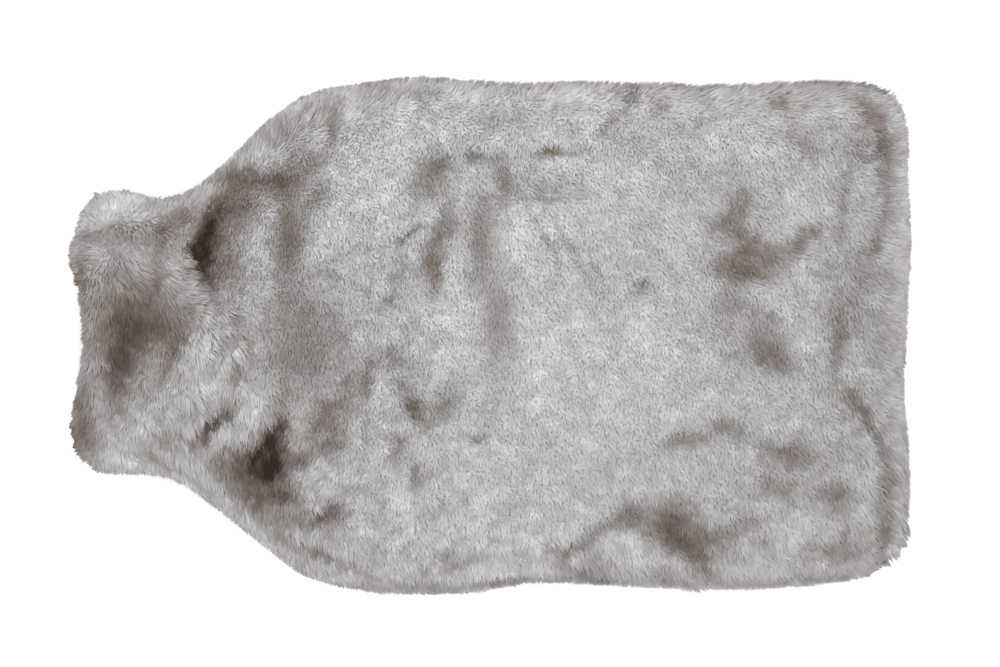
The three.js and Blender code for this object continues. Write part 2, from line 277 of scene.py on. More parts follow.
# x, y, length, width, angle of the length in degrees, darkness: painted shade, where the nap and the creases
# of the pile lie in shade.
PAINTED_SHADES = np.array([
    (-160, -6, 48, 14, 88, 0.66),  # neck
    (-152, 0, 26, 22, 80, 0.36),
    (-162, -17, 18, 9, 80, 0.32),
    (-154, 12, 40, 16, 0, 0.42),
    (-143, 3, 20, 12, -8, 0.50),
    (-140, -11, 18, 6, 66, 0.50),
    (-169, -4, 36, 10, 90, 0.26),
    (-166, 26, 26, 12, 0, 0.22),
    (-147, 24, 20, 7, 68, 0.42),
    (-163, 45, 36, 9, 8, 0.42),
    (-148, 43, 16, 10, -10, 0.38),
    (-178, 29, 16, 7, 80, 0.52),
    (-134, 51, 14, 9, 10, 0.42),
    (-137, 44, 12, 6, -30, 0.25),
    (-138, 22, 24, 34, 0, 0.20),
    (-178.5, -37, 30, 9, 86, 0.62),
    (-172, -42, 22, 14, 90, 0.28),
    (-143, -43, 14, 6, 10, 0.38),
    (-151, -52, 10, 5, -30, 0.38),
    (-139, -57, 20, 5, -32, 0.35),
    (-148, -25, 12, 5, -75, 0.22),
    (-131, -44, 10, 5, 30, 0.22),
    (-138, -34, 30, 36, 0, 0.06),
    (-128, -37, 32, 16, 20, 0.16),
    (-154, -5, 64, 90, 0, 0.14),
    (-121.5, 47, 17, 8, 60, 0.88),  # top shoulder
    (-125, 37, 14, 9, 58, 0.92),
    (-124.5, 28, 18, 8, 98, 0.88),
    (-115, 38, 34, 13, 80, 0.46),
    (-112, 27, 10, 8, 0, 0.16),
    (-110, 59, 24, 17, 60, 0.54),
    (-103, 67, 32, 6, 2, 0.52),
    (-87, 70, 18, 9, 30, 0.44),
    (-76, 75, 10, 6, 20, 0.20),
    (-93, 63, 10, 7, 0, 0.28),
    (-87.5, 43, 38, 12, 86, 0.64),
    (-75, 60, 16, 5, 55, 0.30),
    (-68.5, 88, 15, 5, 85, 0.38),
    (-67, 100, 14, 3, 70, 0.25),
    (-82.5, 96, 12, 3, 55, 0.30),
    (-75, 96, 12, 3, 55, 0.30),
    (-88, 86, 16, 10, 0, 0.25),
    (-108, 0, 18, 5, -68, 0.30),  # bright fan of the shoulders and its dark streaks
    (-109, -17, 10, 6, 0, 0.35),
    (-116, -7, 16, 6, 70, 0.26),
    (-80.5, -1, 40, 37, 90, 0.50),
    (-119, -37, 18, 5, 42, 0.78),  # bottom shoulder
    (-125, -44, 9, 7, 45, 0.50),
    (-93, -46, 28, 8, 82, 0.86),
    (-96, -54, 18, 16, 0, 0.90),
    (-110, -55, 22, 9, -8, 0.60),
    (-118, -50, 10, 9, 0, 0.26),
    (-101, -67, 24, 12, -20, 0.45),
    (-106, -70, 16, 9, -30, 0.24),
    (-96, -79, 18, 8, -40, 0.36),
    (-91, -87, 12, 5, -40, 0.20),
    (-87, -69.5, 12, 5, -5, 0.45),
    (-89, -62, 10, 8, 0, 0.40),
    (-81, -78, 18, 7, -10, 0.40),
    (-72, -79, 15, 5, 15, 0.30),
    (-67, -75.5, 12, 8, 50, 0.48),
    (-79, -52, 18, 6, 40, 0.42),
    (-72, -38, 16, 14, 45, 0.42),
    (-69, -29.5, 8, 6, 0, 0.38),
    (-68, -46, 10, 5, 0, 0.36),
    (-61, -23, 14, 5, 65, 0.36),
    (-39, -47, 11, 5.5, 80, 0.42),
    (-52, -19, 17, 5, 80, 0.42),
    (-60, -67, 22, 5, 22, 0.22),
    (-72, -96, 30, 3.5, -24, 0.42),
    (-26, 67, 22, 15, 55, 0.48),  # upper body
    (-20, 74, 10, 7, 70, 0.28),
    (-18, 46, 12, 9, 40, 0.46),
    (-24.5, 33, 18, 9, 80, 0.58),
    (-23, 24, 10, 6, 80, 0.38),
    (-20, 53, 12, 5, 60, 0.28),
    (-34.5, 43, 11, 2.2, 32, 0.55),
    (-44, 16, 10, 4, 45, 0.32),
    (-38, 26, 6, 6, 0, 0.26),
    (-41, -8, 7, 9, 0, 0.30),
    (-4, 42, 34, 11, 90, 0.50),
    (4, 6, 34, 13, 92, 0.42),
    (6, 67, 20, 7, 84, 0.42),
    (-6.5, 76, 7, 5, 0, 0.40),
    (-2, 77, 16, 4, -8, 0.25),
    (22, 64, 24, 9, 0, 0.28),
    (22, 59, 26, 2.5, 0, 0.22),
    (26.5, 81.5, 11, 4.5, 0, 0.50),
    (23, 79.5, 16, 3.5, 5, 0.30),
    (37, 80, 18, 2.5, -6, 0.25),
    (23, 42, 26, 2.4, -62, 0.34),
    (36, 34, 36, 2.6, -58, 0.28),
    (46, 27, 20, 2.6, -60, 0.24),
    (52, 92, 14, 4, 55, 0.38),
    (61.5, 103, 10, 5, 75, 0.28),
    (71, 102, 12, 5, -55, 0.30),
    (64.5, 21.5, 6, 5, -30, 0.50),
    (-36, -26, 22, 7, -60, 0.42),
    (-33, -33, 9, 7, 0, 0.34),
    (-20, -30, 18, 9, 65, 0.32),
    (-35, 2, 18, 12, 80, 0.16),
    (-49, 34, 26, 16, 0, 0.12),
    (-6, -45, 10, 3, 24, 0.40),
    (-32, -65, 14, 3.5, 90, 0.34),
    (-45, -70, 110, 90, 0, 0.12),
    (-33, 105, 40, 8, 0, 0.14),  # along the sides
    (-19, -97, 12, 6, -50, 0.28),
    (-10, -98, 10, 5, 20, 0.28),
    (31, -94, 14, 6, 10, 0.34),
    (39, -91, 8, 6, 30, 0.38),
    (47, -84, 12, 7, 35, 0.40),
    (31, -103, 10, 8, 0, 0.30),
    (47, -100, 14, 10, -50, 0.30),
    (41, -106, 8, 4, 0, 0.40),
    (5, -109.5, 16, 3, 4, 0.42),
    (105, 54, 20, 9, 50, 0.44),  # right of the body
    (97, 48, 12, 8, 0, 0.22),
    (108, 44, 12, 9, -50, 0.42),
    (117, 34, 26, 14, 10, 0.50),
    (104, 32, 20, 12, 0, 0.38),
    (110, 26, 22, 6, -5, 0.42),
    (136, 42, 17, 8, 44, 0.54),
    (102, 11, 20, 12, 90, 0.30),
    (116, 9, 18, 7, -38, 0.30),
    (117, -4, 18, 13, -50, 0.48),
    (125, -12, 16, 10, -30, 0.38),
    (108, -8, 16, 12, 0, 0.18),
    (147, 5, 60, 10, 88, 0.16),
    (134, -24, 28, 18, 0, 0.12),
    (112, 60, 90, 90, 0, 0.08),
    (86, -44, 14, 8, 0, 0.44),
    (76, -47, 10, 5, 40, 0.24),
    (102, -38, 14, 7, -10, 0.36),
    (106, -43, 14, 7, -5, 0.32),
    (131, -52, 18, 11, 0, 0.42),
    (134, -45, 8, 8, 0, 0.28),
    (122, -47, 10, 6, 0, 0.25),
    (123, -65, 16, 8, -20, 0.36),
    (151, -70, 14, 14, 0, 0.42),
    (78, -84, 34, 15, -18, 0.60),
    (84, -88, 16, 12, -20, 0.40),
    (91, -97, 16, 9, -45, 0.54),
    (100, -87, 16, 7, 30, 0.38),
    (82, -73, 14, 10, 0, 0.28),
    (60, -78, 16, 8, 10, 0.30),
    (117, -90, 8, 5, 0, 0.34),
    (111, -81, 12, 8, 0, 0.20),
    (151, -94, 24, 9, -5, 0.30),
    (72, -105, 18, 8, 0, 0.28),
    (125, -75, 120, 70, 0, 0.12),
    (155, -90, 60, 40, 0, 0.08),
    (148, 98, 50, 30, 0, 0.08),
    (-88, 92, 60, 30, 35, 0.10),
    (158, -27, 12, 7, -55, 0.52),
    (163, -36, 16, 6, -62, 0.42),
    (168, -46, 14, 5, -65, 0.30),
    (150, -6, 22, 6, 88, 0.32),
    (156, 25, 32, 20, 80, 0.16),
    (153, 8, 28, 12, 80, 0.22),
    (166, 40, 14, 5, 70, 0.28),
    (152, 56, 24, 5, 85, 0.28),
    (171, 10, 100, 18, 90, 0.12),
    (163, 99, 16, 7, -45, 0.28),
    (169, 88, 22, 8, -62, 0.34),
    (172, 68, 42, 9, 90, 0.28),
    (-30, -112, 90, 5, 0, 0.26),
    (60, -109.5, 130, 4, 0, 0.26),
    (150, -107, 60, 5, 6, 0.26),
    (159, 81, 18, 12, -30, 0.26),
    (135, 87, 22, 12, -30, 0.28),
    (126, 102, 8, 6, 0, 0.40),
    (172, -68, 36, 9, 86, 0.36),
    (174, -88, 26, 8, 90, 0.32),
]) * (MM, MM, MM, MM, 1, 1)

# x, y, length, width, angle of the length in degrees, lightness: painted highlights, where the pile catches
# more light than the rest.
PAINTED_HIGHLIGHTS = np.array([
    (-118, 8, 36, 12, 65, 0.06),
    (-132, 21, 20, 12, 50, 0.16),
    (-148, 35, 14, 8, -35, 0.15),
    (-148, -8, 14, 5, 45, 0.15),
    (-166, -46, 20, 12, -60, 0.20),
    (-76, -62, 18, 12, 0, 0.12),
    (-12.5, 62, 46, 3, 90, 0.20),
    (-36, -70, 30, 4, -80, 0.15),
    (148, 36, 10, 6, 20, 0.12),
    (22, -104, 14, 7, 20, 0.20),
    (40, -20, 150, 90, -20, 0.08),
    (183, 10, 160, 7, 90, 0.16),
    (40, 108, 200, 9, 0, 0.32),
    (180, -99, 14, 10, 45, 0.30),
    (-165, 62, 40, 7, 0, 0.32),
    (-122, 74, 40, 7, 40, 0.34),
    (-85, 101, 40, 7, 34, 0.34),
    (-42, 111, 50, 5, 6, 0.22),
    (179, 102, 24, 8, -50, 0.34),
]) * (MM, MM, MM, MM, 1, 1)

# A panel's node in the solids, its cloth's name, and the way that its pile faces: 1 up or -1 down.
Panel = namedtuple("Panel", "node cloth_name up")
FRONT = Panel("front_panel", "front_cloth", 1)
BACK = Panel("back_panel", "back_cloth", -1)


# ---------------------------------------------------------------------------------------------- settings


def length_setting(label, description, default, least=0.0):
    """A length that the user can set, in metres."""
    return FloatProperty(name=label, description=description, default=default, min=least,
                         unit="LENGTH", subtype="DISTANCE")


def share_setting(label, description, default):
    """A share from 0 to 1 that the user can set."""
    return FloatProperty(name=label, description=description, default=default, min=0.0, max=1.0,
                         subtype="FACTOR")


def angle_setting(label, description, default):
    """An angle that the user can set, given here in degrees."""
    return FloatProperty(name=label, description=description, default=math.radians(default), subtype="ANGLE")


def colour_setting(label, description, *default):
    """A colour that the user can set, as linear red, green and blue."""
    return FloatVectorProperty(name=label, description=description, size=3, subtype="COLOR",
                               min=0.0, max=1.0, default=default)


def place_setting(label, description, *default):
    """A place that the user can set, in metres."""
    return FloatVectorProperty(name=label, description=description, size=3, default=default,
                               unit="LENGTH", subtype="TRANSLATION")


def count_setting(label, description, default, least):
    """A number of locks that the user can set."""
    return IntProperty(name=label, description=description, default=default, min=least)


class PileSettings(bpy.types.PropertyGroup):
    """Sizes of the pile and of the cloth that it grows from."""

    face_depth: length_setting("Face pile", "Depth of the pile on a panel's broad face", 7 * MM, 1 * MM)
    rim_depth: length_setting("Rim pile", "Depth of the pile at the seam round the cover", 8 * MM, 1 * MM)
    mouth_depth: length_setting(
        "Mouth pile", "How far the pile stands out past the cloth at the mouth", 6 * MM, 1 * MM)
    cloth_thickness: length_setting(
        "Cloth", "Thickness of the knitted cloth under the pile", 1.2 * MM, 0.2 * MM)
    lean: length_setting("Lean", "How far a tip leans from its root where nothing has stroked it", 3.1 * MM)
    direction: angle_setting("Direction", "Direction of that lean from +X", -72)
    jitter: angle_setting("Jitter", "How far single locks turn from the way the pile is stroked", 22)
    lock_width: length_setting("Lock width", "Width of a lock of fibres at its widest", 1.4 * MM, 0.1 * MM)
    tuft_spacing: length_setting(
        "Tufts", "Distance between the tufts that locks gather into", 2.6 * MM, 0.5 * MM)
    gather: share_setting("Gather", "Share of the way to its tuft's middle that a tip is drawn", 0.15)
    underfur: share_setting(
        "Underfur", "Share of the locks that are broad, short and crossed under the rest", 0.20)
    front_locks: count_setting("Front locks", "Locks on the front panel", 166000, 1000)
    back_locks: count_setting("Back locks", "Locks on the back panel", 40000, 1000)
    mouth_locks: count_setting("Mouth locks", "Locks at the edge of the mouth, on each panel", 6000, 100)
    seed: IntProperty(name="Seed", description="Start of the random numbers", default=11)


class ColourSettings(bpy.types.PropertyGroup):
    """Colours of the pile's tones from the deepest to the palest, whose darker stops are painted shade, and
    those of the cloth and the floor.
    """

    # deep, taupe and grey are painted shade, for pile in the creases and pile stroked away from the light;
    # pale is reached by painted highlights and by random tone.
    deep: colour_setting("Deep", "Pile in the deepest creases", 0.026, 0.018, 0.014)
    taupe: colour_setting("Taupe", "Pile stroked against the light", 0.150, 0.127, 0.111)
    grey: colour_setting("Grey", "Pile half stroked against the light", 0.254, 0.236, 0.227)
    silver: colour_setting("Silver", "Pile as it lies on most of the cover", 0.433, 0.431, 0.444)
    pale: colour_setting("Pale", "Brightest tips", 0.640, 0.640, 0.656)
    warm: colour_setting("Warm", "What the warmest fibres, at the rims, are multiplied by", 1.0, 0.955, 0.915)
    cloth: colour_setting("Cloth", "Knitted cloth under the pile and inside the cover", 0.40, 0.385, 0.37)
    floor: colour_setting("Floor", "Surface that the cover lies on", 0.90, 0.90, 0.90)


class StageSettings(bpy.types.PropertyGroup):
    """The camera over the cover and the light round it."""

    camera_place: place_setting(
        "Camera", "Place of the camera, which looks straight down", 4.4 * MM, 0.7 * MM, 1239 * MM)
    lens: FloatProperty(
        name="Lens", description="Focal length on a 36 mm wide sensor", default=100.0, min=20.0,
        unit="CAMERA")
    floor_side: length_setting("Floor", "Side of the square floor", 8.0, 1.0)
    dome: FloatProperty(
        name="Dome", description="Strength of the even light from all round", default=1.32, min=0.0)
    key: FloatProperty(
        name="Key", description="Power of the large soft lamp, in watts", default=26.0, min=0.0,
        unit="POWER")
    key_place: place_setting("Key place", "Where the large soft lamp hangs", 0.15, 0.05, 2.0)
    key_side: length_setting("Key side", "Side of the large soft lamp", 1.6, 0.1)


# ------------------------------------------------------------------------------------- form of the cover


def curve_through(table, column, at):
    """A smooth curve through one column of a table, level at its two ends and held beyond them."""
    places, values = table[:, 0], table[:, column]
    slopes = np.diff(values) / np.diff(places)
    tangents = np.zeros(len(values))
    tangents[1:-1] = (slopes[:-1] + slopes[1:]) / 2
    at = np.clip(at, places[0], places[-1])
    row = np.clip(np.searchsorted(places, at, side="right") - 1, 0, len(places) - 2)
    step = places[row + 1] - places[row]
    t = (at - places[row]) / step
    from_start = (2 * t**3 - 3 * t**2 + 1) * values[row] + (t**3 - 2 * t**2 + t) * tangents[row] * step
    from_end = (3 * t**2 - 2 * t**3) * values[row + 1] + (t**3 - t**2) * tangents[row + 1] * step
    return from_start + from_end


# Nothing is divided by less than this.
TINY = 1e-12


def unit(vectors):
    """Vectors scaled to length 1."""
    return vectors / np.maximum(np.linalg.norm(vectors, axis=-1, keepdims=True), TINY)


def rounded_height(share, roundness):
    """Height of a rounded section, 1 at its middle and 0 at its rim, where share is 1."""
    return np.maximum(0, 1 - np.abs(share) ** roundness) ** (1 / roundness)


def patch_strengths(patches, x, y, sharpness=2.0):
    """How strongly each patch of a table acts at each point: 1 at its middle and little past its edge."""
    angle = np.radians(patches[:, 4])
    for (px, py, length, width), cos, sin in zip(patches[:, :4], np.cos(angle), np.sin(angle)):
        along = (x - px) * cos + (y - py) * sin
        aside = (y - py) * cos - (x - px) * sin
        yield np.exp(-np.hypot(2 * along / length, 2 * aside / width) ** sharpness)


def patch_sum(patches, x, y):
    """All the patches of a table together at each point, each by the amount in its last column."""
    return sum(amount * strength for amount, strength in zip(patches[:, 5], patch_strengths(patches, x, y)))


def nearness(x, y, px, py, reach):
    """1 at a place of a table, falling away to little past its reach."""
    return np.exp(-((x - px) ** 2 + (y - py) ** 2) / reach**2)


def swell(x, y):
    """Height of the low swells between the hollows."""
    turn_x = 2 * math.pi * (x + y / 2) / SWELL_LENGTH_X
    turn_y = 2 * math.pi * y / SWELL_LENGTH_Y
    return SWELL_HEIGHT * np.sin(turn_x) * np.sin(turn_y)


def panel_skin(panel, along, across, depth):
    """Points of a surface through a panel's pile: depth is 0 at its tips and 1 at its cloth.

    along runs from 0 at the mouth to 1 at the closed end, and across from -1 to 1 over the panel.
    """
    pile = bpy.context.scene.cover_pile
    section = rounded_height(across, ROUNDNESS)
    mouth = curve_through(MOUTH_EDGE, 1, across) + pile.mouth_depth * depth
    mouth = mouth + (MOUTH_SETBACK * section if panel.up > 0 else 0)
    end = curve_through(CLOSED_END, 1, across) - pile.rim_depth * depth
    x = mouth + along * (end - mouth)
    top, bottom, crown = (curve_through(SECTIONS, column, x) for column in (1, 2, 3))
    y = (top + bottom) / 2 + across * ((top - bottom) / 2 - pile.rim_depth * depth)
    past_end = 1 - np.minimum(1, (1 - along) * (end - mouth) / END_ROUND_LENGTH)
    past_mouth = 1 - np.minimum(1, along * (end - mouth) / HEM_LENGTH)
    shape = section * rounded_height(past_end, ROUNDNESS)
    hem = HEM_DEPTH * (1 - depth) * (1 - rounded_height(past_mouth, 2)) * section
    if panel.up > 0:
        height = (crown - pile.face_depth * depth) * shape - hem
        relief = swell(x, y) - (1 - (1 - CLOTH_DIP) * depth) * patch_sum(HOLLOWS, x, y)
        z = SEAM_HIGH + height + np.clip(height / HOLLOW_FADE_HEIGHT, 0, 1) * relief
    else:
        z = SEAM_LOW - (SEAM_LOW - pile.face_depth * depth) * np.minimum(1, BACK_FLATTENING * shape) + hem
    return np.stack([x, y, z], axis=-1)


# Share of the rows' run that stands before the closed end begins to round over.
ROWS_BEFORE_END = 0.86


def surface_place(row, column):
    """along and across for a place on a panel's chart, which is stretched where the pile turns the rim."""
    length = CLOSED_END[:, 1].max() - MOUTH_EDGE[:, 1].min()
    end = END_ROUND_LENGTH / length
    turn = np.clip((row - ROWS_BEFORE_END) / (1 - ROWS_BEFORE_END), 0, 1)
    before = np.minimum(row / ROWS_BEFORE_END, 1) * (1 - end)
    along = before + end * np.sin(turn * math.pi / 2)
    return along, np.sin(column * math.pi / 2)


def chart_grid(rows, columns):
    """Row and column of the corners of a grid over a panel's chart, of so many cells each way."""
    return np.meshgrid(np.linspace(0, 1, rows + 1), np.linspace(-1, 1, columns + 1), indexing="ij")


def chart_skin(panel, row, column, depth):
    """Points of panel_skin at a place on the panel's chart, row from 0 to 1 and column from -1 to 1."""
    along, across = surface_place(np.clip(row, 0, 1), np.clip(column, -1, 1))
    return panel_skin(panel, along, across, depth)


# ------------------------------------------------------------------------------------------ random fields

# Rows in a noise's table of random numbers, and the primes that pick a row of it for a cell.
HASH_SIZE = 1 << 16
HASH_PRIMES = np.array([73856093, 19349663, 83492791])
# Random numbers that the locks of a tuft share.
SHARED_NUMBERS = 3


def hashed(cells, seed, columns):
    """Random numbers from 0 to 1 that depend only on a cell's whole-number place and the seed."""
    table = np.random.default_rng(seed).random((HASH_SIZE, columns))
    mixed = cells.astype(np.int64) * HASH_PRIMES[:cells.shape[-1]]
    return table[np.bitwise_xor.reduce(mixed, axis=-1) & (HASH_SIZE - 1)]


def soft_noise(x, y, cell, seed):
    """Smooth noise from -1 to 1, with features about one cell across."""
    place = np.stack([x, y], axis=-1) / cell
    corner = np.floor(place)
    part = place - corner
    part = part * part * (3 - 2 * part)
    total = 0
    for step in itertools.product((0, 1), repeat=2):
        weight = np.prod(np.where(step, part, 1 - part), axis=-1)
        total = total + weight * hashed(corner + step, seed, 1)[..., 0]
    return 2 * total - 1


def nearest_tuft(points, spacing, seed):
    """The middle of the tuft that each point belongs to, and the random numbers that its locks share."""
    cells = np.floor(points / spacing)
    nearest = np.full(len(points), np.inf)
    middle = np.zeros_like(points)
    shared = np.zeros((len(points), SHARED_NUMBERS))
    for step in itertools.product((-1, 0, 1), repeat=3):
        numbers = hashed(cells + step, seed, 3 + SHARED_NUMBERS)
        candidate = (cells + step + numbers[:, :3]) * spacing
        distance = np.sum((candidate - points) ** 2, axis=1)
        closer = distance < nearest
        nearest[closer] = distance[closer]
        middle[closer] = candidate[closer]
        shared[closer] = numbers[closer, 3:]
    return middle, shared


# ------------------------------------------------------------------------------------------- lay and tone

# The pile's tone where it lies as on most of the cover, from 0, deepest, to 1, palest.
MAIN_TONE = 0.782
# How far full painted shade and full painted highlight take the tone from there.
SHADE_TONE = 0.81
PAINTED_HIGHLIGHT_TONE = 0.30
# Painted shade: the pile near the seam, where it turns sideways away from the light, is a little darker than
# the broad face. It is also warmer.
RIM_SHADE_TONE = 0.03
RIM_WARMTH = 1.3
# How abruptly a shade ends, and how much wider it spreads than its table says.
SHADE_SHARPNESS = 2.3
SHADE_SPREAD = 1.25
# How far the edges of the painted shades and painted highlights wander, and over what distances.
WANDER = 1.1 * MM
WANDER_CELLS = (9 * MM, 3.4 * MM)
# Seeds of the noises. The mottle counts on from its own for each size of spot.
WANDER_X_SEEDS = (101, 102)
WANDER_Y_SEEDS = (103, 104)
BACK_TURN_SEED = 61
BACK_SHADE_SEED = 62
CLOUD_SEED = 64
MOTTLE_SEED = 65


def painted_shade_and_highlight_at(x, y):
    """Painted shade at points of the front panel, 0 to 1, where the nap and the creases lie in shade, and
    painted highlight where the pile catches the light.
    """
    near_x, near_y = (
        start + sum(WANDER * soft_noise(x, y, cell, seed) for cell, seed in zip(WANDER_CELLS, seeds))
        for start, seeds in ((x, WANDER_X_SEEDS), (y, WANDER_Y_SEEDS)))
    clear = 1.0
    spread = PAINTED_SHADES * (1, 1, SHADE_SPREAD, SHADE_SPREAD, 1, 1)
    for dark, strength in zip(PAINTED_SHADES[:, 5], patch_strengths(spread, near_x, near_y, SHADE_SHARPNESS)):
        clear = clear * (1 - dark * strength)
    return 1 - clear, patch_sum(PAINTED_HIGHLIGHTS, near_x, near_y)


def ruffle_at(x, y):
    """How ruffled the pile is at points of the front panel, from 1 down to -1 where it is pressed smooth."""
    return np.clip(patch_sum(RUFFLES, x, y), -1, 1)


def rim_at(x, y):
    """How much longer the pile is at a rim, as a share of its depth, and how much more it gathers there."""
    extra, gather = 0, 0
    for px, py, reach, longer, ragged in RIMS:
        near = nearness(x, y, px, py, reach)
        extra = extra + longer * near
        gather = np.maximum(gather, ragged * near)
    return extra, gather


# Weight of the unstroked pile against a stroke's own at its middle.
UNSTROKED_WEIGHT = 0.5


def stroke_at(x, y):
    """The lean of the tips at points of the front panel, as a vector in the panel's own plane."""
    pile = bpy.context.scene.cover_pile
    weight_sum = np.full(x.shape, UNSTROKED_WEIGHT)
    length = weight_sum * pile.lean
    way_x = weight_sum * math.cos(pile.direction)
    way_y = weight_sum * math.sin(pile.direction)
    for px, py, reach, direction, lean in STROKES:
        weight = nearness(x, y, px, py, reach)
        angle = math.radians(direction)
        weight_sum = weight_sum + weight
        length = length + weight * lean
        way_x = way_x + weight * math.cos(angle)
        way_y = way_y + weight * math.sin(angle)
    way = unit(np.stack([way_x, way_y], axis=-1))
    return way * (length / weight_sum)[:, None]


# -------------------------------------------------------------------------------------------- pile locks

# The grid that a panel's pile is measured on, to spread its locks evenly.
CHART_ROWS = 260
CHART_COLUMNS = 180
# Steps of the two numbers of an even, never repeating spread of places over a square.
SPREAD_STEPS = (0.7548776662466927, 0.5698402909980532)


def spread_places(panel, count, weight, seed):
    """Places on a panel's chart, spread evenly over its pile and denser where weight is higher."""
    corners = chart_skin(panel, *chart_grid(CHART_ROWS, CHART_COLUMNS), 0.0)
    side = corners[1:, :-1] - corners[:-1, :-1]
    other = corners[:-1, 1:] - corners[:-1, :-1]
    share = np.linalg.norm(np.cross(side, other), axis=-1)
    share = share * weight((corners[1:, 1:] + corners[:-1, :-1]) / 2)
    by_row = np.concatenate([[0], np.cumsum(share.sum(axis=1))])
    by_row = by_row / by_row[-1]
    number = np.arange(count)
    start = np.random.default_rng(seed).random(2)
    first = (start[0] + number * SPREAD_STEPS[0]) % 1
    second = (start[1] + number * SPREAD_STEPS[1]) % 1
    row = np.clip(np.searchsorted(by_row, first, side="right") - 1, 0, CHART_ROWS - 1)
    part = (first - by_row[row]) / (by_row[row + 1] - by_row[row])
    cumulative = np.cumsum(share, axis=1)
    cumulative = cumulative / cumulative[:, -1:]
    flat = (cumulative + np.arange(CHART_ROWS)[:, None]).ravel()
    cell = np.clip(np.searchsorted(flat, row + second), row * CHART_COLUMNS, (row + 1) * CHART_COLUMNS - 1)
    column = cell - row * CHART_COLUMNS
    high = cumulative[row, column]
    low = np.where(column > 0, cumulative[row, np.maximum(column - 1, 0)], 0)
    within = (second - low) / np.maximum(high - low, TINY)
    return (row + part) / CHART_ROWS, (column + within) / CHART_COLUMNS * 2 - 1


# The step over the chart that directions on the pile are taken from.
CHART_STEP = 0.002


def chart_axes(panel, row, column):
    """The direction outwards at places on a panel's pile, and the metres along each way of its chart."""
    rates = []
    for row_step, column_step in ((CHART_STEP, 0.0), (0.0, CHART_STEP)):
        ahead = np.clip(row + row_step, 0, 1), np.clip(column + column_step, -1, 1)
        behind = np.clip(row - row_step, 0, 1), np.clip(column - column_step, -1, 1)
        run = (ahead[0] - behind[0] + ahead[1] - behind[1])[:, None]
        rates.append((chart_skin(panel, *ahead, 0.0) - chart_skin(panel, *behind, 0.0)) / run)
    along, across = rates
    outward = panel.up * unit(np.cross(along, across))
    return outward, np.linalg.norm(along, axis=1), np.linalg.norm(across, axis=1)


# Share of its lean that a lock reaches past the mouth's edge.
MOUTH_REACH = 0.1


def leaned_skin(panel, row, column, lean, rates, depth):
    """Points of the pile that lie a lean away from places on the chart, hanging on past the seam or mouth."""
    far_row = row + lean[:, 0] / rates[0]
    far_column = column + lean[:, 1] / rates[1]
    point = chart_skin(panel, far_row, far_column, depth)
    past_seam = (far_row - np.minimum(far_row, 1)) * rates[0]
    past_seam = past_seam + np.abs(far_column - np.clip(far_column, -1, 1)) * rates[1]
    past_mouth = (np.maximum(far_row, 0) - far_row) * rates[0]
    point[:, 2] -= panel.up * past_seam
    point[:, 0] -= MOUTH_REACH * past_mouth
    return point


# Where a lock's widest place lies: its share of the rise through the pile, and of the lean.
BEND_RISE = 0.62
BEND_LEAN = 0.30


def lock_corners(root, bend, tip, outward, width):
    """The four corners of each lock: its root, the two sides of its bend, and its tip."""
    sideways = unit(np.cross(outward, tip - root)) * (width / 2)[:, None]
    left = bend + sideways
    right = bend - sideways
    inside_out = np.einsum("ij,ij->i", np.cross(left - root, right - root), tip - root) < 0
    left[inside_out], right[inside_out] = right[inside_out], left[inside_out]
    return np.stack([root, left, right, tip], axis=1)


# A lock's four faces as numbers of its corners, and how far along it each corner lies.
LOCK_FACES = np.array([(0, 2, 1), (0, 1, 3), (0, 3, 2), (1, 2, 3)])
LOCK_ALONG = np.array([0.0, 0.55, 0.55, 1.0])
# A lock's warmth is one of this many, each with a strip of its own in the chart that its colour can be baked
# to.
WARMTHS = 4
# Room left at the sides of that chart, and at the sides of each strip as a share of the strip.
CHART_EDGE = 0.02
STRIP_EDGE = 0.05
# How much a lock takes its light as the whole surface does, instead of by its own sides.
SOFTNESS = 0.42
# The pile lies no lower than this over the surface that the cover lies on.
FLOOR_CLEARANCE = 0.1 * MM

Locks = namedtuple("Locks", "corners tone warm outward")


def placed(name, data):
    """A new object of the scene."""
    item = bpy.data.objects.new(name, data)
    bpy.context.scene.collection.objects.link(item)
    return item


def give_numbers(mesh, numbers, chart):
    """Gives a mesh numbers under their names, one for each corner point, and a chart that its colours can be
    baked to.
    """
    for name, values in numbers.items():
        mesh.attributes.new(name, "FLOAT", "POINT").data.foreach_set("value", values.astype(np.float32))
    corner = np.zeros(len(mesh.loops), dtype=np.int32)
    mesh.loops.foreach_get("vertex_index", corner)
    mesh.uv_layers.new(name="OFBake").data.foreach_set("uv", chart[corner].astype(np.float32).ravel())
    mesh.update()


